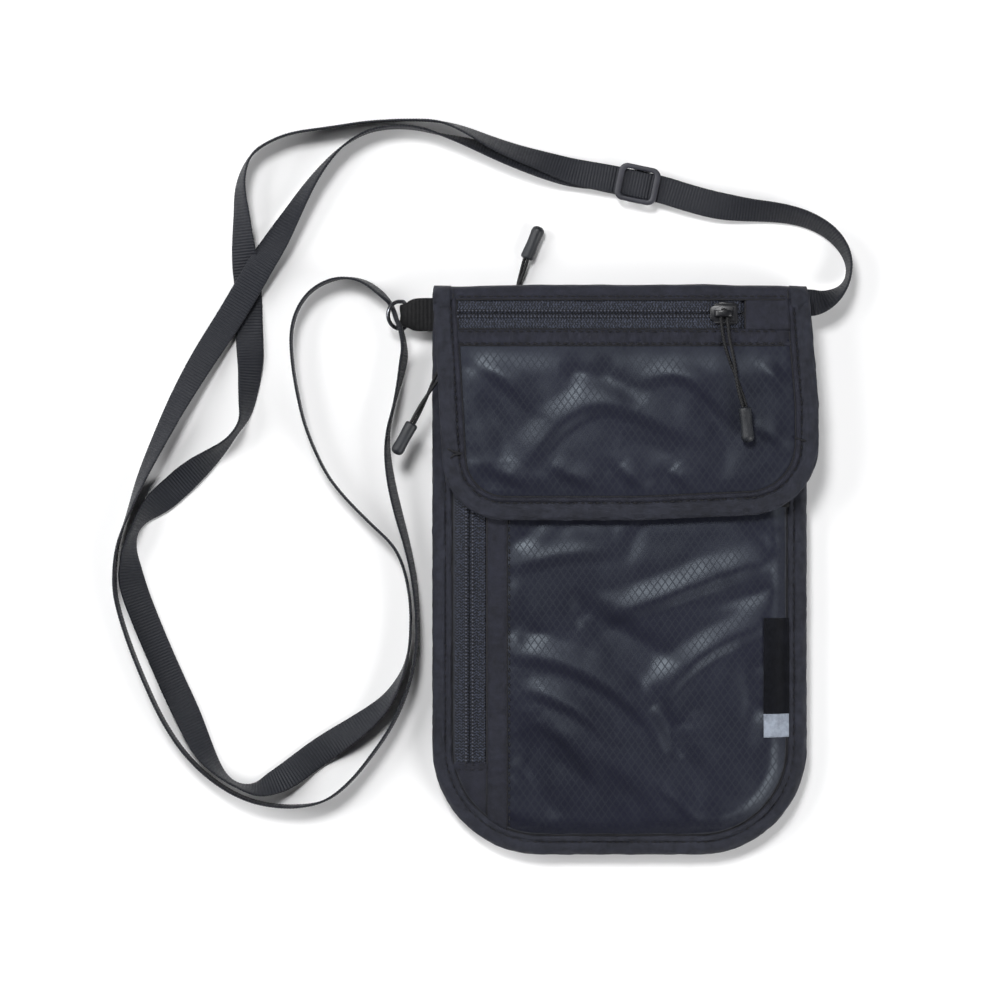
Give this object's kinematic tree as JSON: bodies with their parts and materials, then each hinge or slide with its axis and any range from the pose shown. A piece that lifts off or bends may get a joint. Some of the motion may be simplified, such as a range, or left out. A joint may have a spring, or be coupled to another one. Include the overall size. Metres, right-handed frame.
{
  "type": "neck pouch wallet",
  "caption": "Flat zipped travel pouch with a fold-over zipped flap, side and back zip pockets, and an adjustable webbing neck strap on a D ring.",
  "frame": {"origin": "centre of the pouch's flat back, on the surface it lies on", "axes": "+Z out of the front face, +Y towards the folded top edge, +X towards the side the strap is sewn to"},
  "size_m": [0.2597, 0.2593, 0.0238],
  "materials": {
    "plain_fabric": "plain woven polyester, matt",
    "lining_fabric": "thin woven lining",
    "ripstop_fabric": "coated diamond ripstop nylon with a soft sheen",
    "binding_tape": "grosgrain edge binding with a stitch line",
    "zip_tape": "woven zip tape",
    "zip_coil": "nylon coil",
    "zip_metal": "dark lacquered zinc alloy",
    "hook_loop": "black hook and loop tape",
    "label_black": "black woven label tape",
    "label_grey": "grey woven end of the label",
    "webbing": "ribbed black webbing",
    "pull_cord": "thin braided cord",
    "cord_rubber": "moulded soft cord end",
    "ring_metal": "gunmetal wire",
    "adjuster_plastic": "moulded acetal"
  },
  "bodies": {
    "pouch": {"back_panel": "plain_fabric", "back_step": "plain_fabric", "back_band": "plain_fabric", "spine_low": "plain_fabric", "back_tape_low": "zip_tape", "back_tape_up": "zip_tape", "back_coil_low": "zip_coil", "back_coil_up": "zip_coil", "back_stops": "zip_metal", "back_divider": "lining_fabric", "side_wall": "plain_fabric", "inner_front": "lining_fabric", "pocket_hem": "plain_fabric", "front_panel": "ripstop_fabric", "side_placket": "plain_fabric", "side_plain": "plain_fabric", "side_tape_in": "zip_tape", "side_tape_out": "zip_tape", "side_coil_in": "zip_coil", "side_coil_out": "zip_coil", "side_stops": "zip_metal", "body_binding": "binding_tape", "hook_tape": "hook_loop", "label_tab": "label_black", "label_square": "label_grey", "ring_tab": "webbing", "neck_strap": "webbing"},
    "flap": {"flap_band": "plain_fabric", "flap_spine": "plain_fabric", "flap_panel": "ripstop_fabric", "flap_strip_low": "plain_fabric", "flap_strip_right": "plain_fabric", "flap_binding": "binding_tape", "flap_lining": "lining_fabric", "flap_tape_low": "zip_tape", "flap_tape_up": "zip_tape", "flap_coil_low": "zip_coil", "flap_coil_up": "zip_coil", "flap_stops": "zip_metal", "loop_tape": "hook_loop"},
    "flap_zip_slider": {"flap_slider": "zip_metal", "flap_pull_loop": "pull_cord"},
    "flap_zip_pull": {"flap_pull_cord": "pull_cord", "flap_cord_end": "cord_rubber"},
    "side_zip_slider": {"side_slider": "zip_metal", "side_pull_loop": "pull_cord"},
    "side_zip_pull": {"side_pull_cord": "pull_cord", "side_cord_end": "cord_rubber"},
    "back_zip_slider": {"back_slider": "zip_metal", "back_pull_loop": "pull_cord"},
    "back_zip_pull": {"back_pull_cord": "pull_cord", "back_cord_end": "cord_rubber"},
    "ring": {"d_ring": "ring_metal"},
    "adjuster": {"tri_glide": "adjuster_plastic", "strap_end": "webbing"}
  },
  "joints": [
    {"name": "flap_fold", "type": "hinge", "parent": "pouch", "child": "flap", "pos_m": [0, 0.0988, 0.0089], "axis": [-1, 0, 0], "range_deg": [0, 130]},
    {"name": "flap_zip_run", "type": "slide", "parent": "flap", "child": "flap_zip_slider", "axis": [-1, 0, 0], "range_m": [0, 0.086]},
    {"name": "flap_pull_swing", "type": "hinge", "parent": "flap_zip_slider", "child": "flap_zip_pull", "pos_m": [0.036, 0.0898, 0.0189], "axis": [0, 0, 1], "range_deg": [-50, 34]},
    {"name": "side_zip_run", "type": "slide", "parent": "pouch", "child": "side_zip_slider", "axis": [0, -1, 0], "range_m": [0, 0.134]},
    {"name": "side_pull_swing", "type": "hinge", "parent": "side_zip_slider", "child": "side_zip_pull", "pos_m": [-0.0527, 0.0765, 0.0136], "axis": [0, 0, 1], "range_deg": [-32, 5]},
    {"name": "back_zip_run", "type": "slide", "parent": "pouch", "child": "back_zip_slider", "axis": [1, 0, 0], "range_m": [0, 0.07]},
    {"name": "back_pull_swing", "type": "hinge", "parent": "back_zip_slider", "child": "back_zip_pull", "pos_m": [-0.04, 0.08, 0.0012], "axis": [0, 0, 1], "range_deg": [-15, 40]},
    {"name": "ring_pivot", "type": "hinge", "parent": "pouch", "child": "ring", "pos_m": [-0.0754, 0.0898, 0.0056], "axis": [0, 1, 0], "range_deg": [-10, 15], "deforming": ["neck_strap"]},
    {"name": "adjuster_slide", "type": "slide", "parent": "pouch", "child": "adjuster", "axis": [0.9781, -0.2079, 0], "range_m": [0, 0.025], "deforming": ["neck_strap"]}
  ]
}
